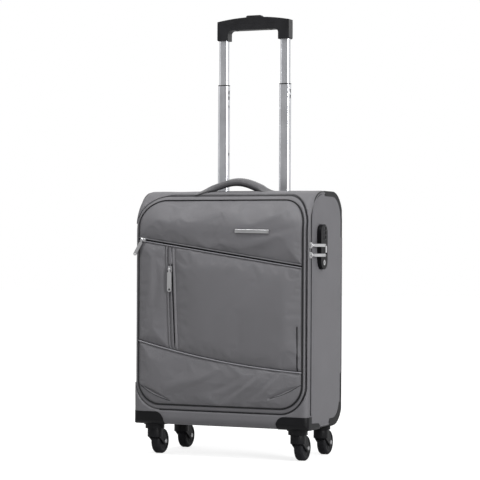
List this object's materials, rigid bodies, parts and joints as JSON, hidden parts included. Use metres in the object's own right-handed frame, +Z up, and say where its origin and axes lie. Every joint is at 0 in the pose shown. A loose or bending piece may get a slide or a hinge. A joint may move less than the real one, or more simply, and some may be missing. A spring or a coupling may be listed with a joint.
{
  "type": "softside upright suitcase",
  "caption": "Upright softside cabin suitcase with a zipped lid, swivel casters, a telescopic trolley handle, carry handles and a side combination lock.",
  "frame": {"origin": "on the floor under the middle of the case", "axes": "+X to the lock side, -Y out of the front lid, +Z up along the poles"},
  "size_m": [0.4217, 0.2245, 0.931],
  "materials": {
    "shell_fabric": "woven nylon with a slight sheen",
    "handle_fabric": "padded woven nylon",
    "lining_fabric": "thin smooth polyester",
    "hoop_rod": "glass-fibre rod",
    "board": "hollow board, matte",
    "piping": "smooth bound cord",
    "zipper_chain": "nylon coil on woven tape",
    "black_plastic": "moulded, fine grain",
    "lock_plastic": "moulded, satin",
    "dial_plastic": "moulded, ribbed",
    "pole_metal": "satin anodised",
    "grip_plastic": "soft-touch, fine grain",
    "steel": "plated",
    "wheel_rubber": "moulded polyurethane",
    "zipper_metal": "plated zinc, satin"
  },
  "bodies": {
    "case": {"body_shell": "shell_fabric", "body_lining": "lining_fabric", "frame_hoops": "hoop_rod", "back_board": "board", "side_piping": "piping", "body_zipper": "zipper_chain", "top_corner_guards": "black_plastic", "base_skids": "black_plastic", "lock_housing": "lock_plastic", "trolley_bezel": "black_plastic", "outer_tubes": "pole_metal", "tube_cups": "black_plastic", "wheel_housing_front_left": "black_plastic", "wheel_housing_front_right": "black_plastic", "wheel_housing_rear_left": "black_plastic", "wheel_housing_rear_right": "black_plastic", "swivel_pins": "steel"},
    "lid": {"lid_panel": "shell_fabric", "lid_piping": "piping", "lid_zipper": "zipper_chain", "pocket_panel": "shell_fabric"},
    "middle_stage": {"middle_tube_left": "pole_metal", "middle_tube_right": "pole_metal", "middle_bushes": "black_plastic"},
    "grip": {"upper_tube_left": "pole_metal", "upper_tube_right": "pole_metal", "grip_shell": "grip_plastic", "grip_cap": "grip_plastic", "button_spring": "steel"},
    "button": {"push_button": "grip_plastic"},
    "rods": {"push_rods": "steel"},
    "pin_left": {"lock_pin_left": "steel"},
    "pin_right": {"lock_pin_right": "steel"},
    "carry_handle": {"carry_handle": "handle_fabric"},
    "side_handle": {"side_handle": "handle_fabric"},
    "lock_button": {"lock_button": "zipper_metal"},
    "key_cylinder": {"key_cylinder": "zipper_metal"},
    "fork_front_left": {"fork_front_left": "black_plastic", "axle_front_left": "steel"},
    "wheel_front_left": {"wheel_front_left": "wheel_rubber"},
    "fork_front_right": {"fork_front_right": "black_plastic", "axle_front_right": "steel"},
    "wheel_front_right": {"wheel_front_right": "wheel_rubber"},
    "fork_rear_left": {"fork_rear_left": "black_plastic", "axle_rear_left": "steel"},
    "wheel_rear_left": {"wheel_rear_left": "wheel_rubber"},
    "fork_rear_right": {"fork_rear_right": "black_plastic", "axle_rear_right": "steel"},
    "wheel_rear_right": {"wheel_rear_right": "wheel_rubber"},
    "dial_upper": {"dial_upper": "dial_plastic"},
    "dial_middle": {"dial_middle": "dial_plastic"},
    "dial_lower": {"dial_lower": "dial_plastic"},
    "main_slider_upper": {"main_slider_upper": "zipper_metal"},
    "main_slider_lower": {"main_slider_lower": "zipper_metal"},
    "main_pull_upper": {"main_pull_upper": "zipper_metal"},
    "main_pull_lower": {"main_pull_lower": "zipper_metal"},
    "diagonal_slider": {"diagonal_slider": "zipper_metal"},
    "diagonal_pull": {"diagonal_pull": "zipper_metal"},
    "vertical_slider": {"vertical_slider": "zipper_metal"},
    "vertical_pull": {"vertical_pull": "zipper_metal"}
  },
  "joints": [
    {"name": "lid_hinge", "type": "hinge", "parent": "case", "child": "lid", "pos_m": [-0.1905, -0.0932, 0.32], "axis": [0, 0, -1], "range_deg": [0, 110]},
    {"name": "middle_slide", "type": "slide", "parent": "case", "child": "middle_stage", "axis": [0, 0, 1], "range_m": [-0.234, 0]},
    {"name": "grip_slide", "type": "slide", "parent": "middle_stage", "child": "grip", "axis": [0, 0, 1], "range_m": [-0.094, 0.102]},
    {"name": "button_press", "type": "slide", "parent": "grip", "child": "button", "axis": [0, 0, -1], "range_m": [0, 0.005], "stiffness_N_per_m": 400, "springref_m": -0.002, "deforming": ["button_spring"]},
    {"name": "rod_press", "type": "slide", "parent": "grip", "child": "rods", "axis": [0, 0, -1], "range_m": [0, 0.005]},
    {"name": "pin_left_slide", "type": "slide", "parent": "grip", "child": "pin_left", "axis": [-1, 0, 0], "range_m": [0, 0.003]},
    {"name": "pin_right_slide", "type": "slide", "parent": "grip", "child": "pin_right", "axis": [1, 0, 0], "range_m": [0, 0.003]},
    {"name": "carry_handle_swing", "type": "hinge", "parent": "case", "child": "carry_handle", "pos_m": [-0.002, -0.006, 0.556], "axis": [1, 0, 0], "range_deg": [-40, 40], "stiffness_Nm_per_rad": 0.6},
    {"name": "side_handle_swing", "type": "hinge", "parent": "case", "child": "side_handle", "pos_m": [-0.199, 0, 0.33], "axis": [0, 0, 1], "range_deg": [-35, 35]},
    {"name": "swivel_front_left", "type": "hinge", "parent": "case", "child": "fork_front_left", "pos_m": [-0.1615, -0.065, 0.055], "axis": [0, 0, 1], "continuous": true},
    {"name": "roll_front_left", "type": "hinge", "parent": "fork_front_left", "child": "wheel_front_left", "pos_m": [-0.1615, -0.04, 0.026], "axis": [1, 0, 0], "continuous": true},
    {"name": "swivel_front_right", "type": "hinge", "parent": "case", "child": "fork_front_right", "pos_m": [0.1615, -0.065, 0.055], "axis": [0, 0, 1], "continuous": true},
    {"name": "roll_front_right", "type": "hinge", "parent": "fork_front_right", "child": "wheel_front_right", "pos_m": [0.1615, -0.04, 0.026], "axis": [1, 0, 0], "continuous": true},
    {"name": "swivel_rear_left", "type": "hinge", "parent": "case", "child": "fork_rear_left", "pos_m": [-0.1615, 0.065, 0.055], "axis": [0, 0, 1], "continuous": true},
    {"name": "roll_rear_left", "type": "hinge", "parent": "fork_rear_left", "child": "wheel_rear_left", "pos_m": [-0.1615, 0.09, 0.026], "axis": [1, 0, 0], "continuous": true},
    {"name": "swivel_rear_right", "type": "hinge", "parent": "case", "child": "fork_rear_right", "pos_m": [0.1615, 0.065, 0.055], "axis": [0, 0, 1], "continuous": true},
    {"name": "roll_rear_right", "type": "hinge", "parent": "fork_rear_right", "child": "wheel_rear_right", "pos_m": [0.1615, 0.09, 0.026], "axis": [1, 0, 0], "continuous": true},
    {"name": "dial_upper_turn", "type": "hinge", "parent": "case", "child": "dial_upper", "pos_m": [0.1996, -0.033, 0.474], "axis": [0, 0, 1], "continuous": true},
    {"name": "dial_middle_turn", "type": "hinge", "parent": "case", "child": "dial_middle", "pos_m": [0.1996, -0.033, 0.465], "axis": [0, 0, 1], "continuous": true},
    {"name": "dial_lower_turn", "type": "hinge", "parent": "case", "child": "dial_lower", "pos_m": [0.1996, -0.033, 0.456], "axis": [0, 0, 1], "continuous": true},
    {"name": "lock_button_slide", "type": "slide", "parent": "case", "child": "lock_button", "axis": [0, 0, -1], "range_m": [0, 0.004], "stiffness_N_per_m": 200, "springref_m": -0.001},
    {"name": "key_turn", "type": "hinge", "parent": "case", "child": "key_cylinder", "pos_m": [0.2, -0.033, 0.405], "axis": [1, 0, 0], "range_deg": [0, 90]},
    {"name": "main_zip_upper", "type": "slide", "parent": "case", "child": "main_slider_upper", "axis": [0, 0, 1], "range_m": [0, 0.04]},
    {"name": "main_zip_lower", "type": "slide", "parent": "case", "child": "main_slider_lower", "axis": [0, 0, -1], "range_m": [0, 0.26]},
    {"name": "main_pull_upper_swing", "type": "hinge", "parent": "main_slider_upper", "child": "main_pull_upper", "pos_m": [0.2005, -0.089, 0.44], "axis": [0, 0, -1], "range_deg": [0, 120]},
    {"name": "main_pull_lower_swing", "type": "hinge", "parent": "main_slider_lower", "child": "main_pull_lower", "pos_m": [0.2005, -0.089, 0.42], "axis": [0, 0, -1], "range_deg": [0, 120]},
    {"name": "diagonal_zip", "type": "slide", "parent": "lid", "child": "diagonal_slider", "axis": [0.989, 0, -0.1478], "range_m": [0, 0.32]},
    {"name": "diagonal_pull_swing", "type": "hinge", "parent": "diagonal_slider", "child": "diagonal_pull", "pos_m": [-0.1725, -0.1065, 0.4504], "axis": [-0.866, 0, 0.5], "range_deg": [0, 150]},
    {"name": "vertical_zip", "type": "slide", "parent": "lid", "child": "vertical_slider", "axis": [0, 0, -1], "range_m": [0, 0.155]},
    {"name": "vertical_pull_swing", "type": "hinge", "parent": "vertical_slider", "child": "vertical_pull", "pos_m": [-0.11, -0.1065, 0.389], "axis": [-1, 0, 0], "range_deg": [0, 150]}
  ],
  "couplings": [
    {"joint": "rod_press", "follows": "button_press", "ratio": 1},
    {"joint": "pin_left_slide", "follows": "button_press", "ratio": 0.6},
    {"joint": "pin_right_slide", "follows": "button_press", "ratio": 0.6}
  ]
}
